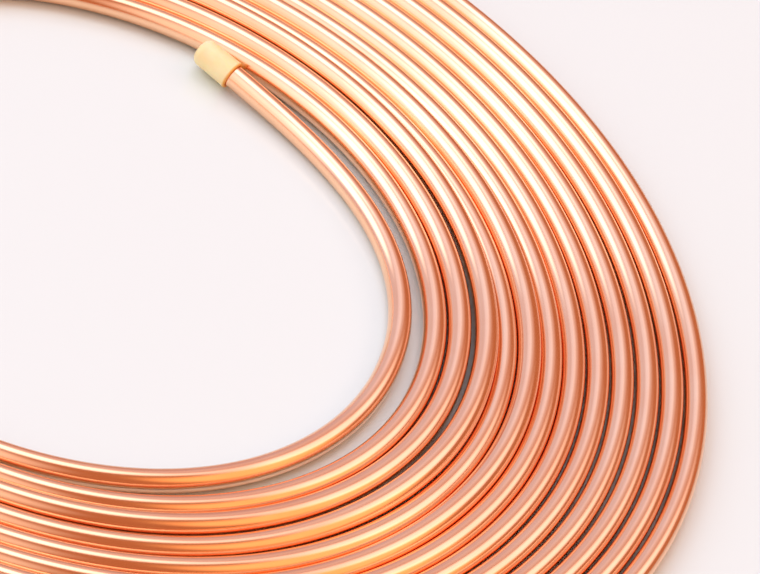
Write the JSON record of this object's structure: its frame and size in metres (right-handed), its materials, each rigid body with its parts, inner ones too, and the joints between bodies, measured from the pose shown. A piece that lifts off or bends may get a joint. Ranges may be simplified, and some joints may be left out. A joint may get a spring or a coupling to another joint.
{
  "type": "copper tube coil",
  "caption": "Flat pancake coil of soft-drawn copper tube, wound in one layer round an open bore, with a loose inner turn and a push-on plastic cap on each tube end",
  "frame": {"origin": "the middle of the coil's bounding box, at the level of the floor it lies on", "axes": "+Z is the coil's axis, up when it lies flat; +X points to where the outer turn leaves the ring; +Y completes the frame"},
  "size_m": [0.5176, 0.5125, 0.0147],
  "materials": {
    "copper": "bright drawn",
    "cap_plastic": "moulded"
  },
  "bodies": {
    "root": {"copper_tube": "copper", "inner_end_cap": "cap_plastic", "outer_end_cap": "cap_plastic"}
  },
  "joints": []
}
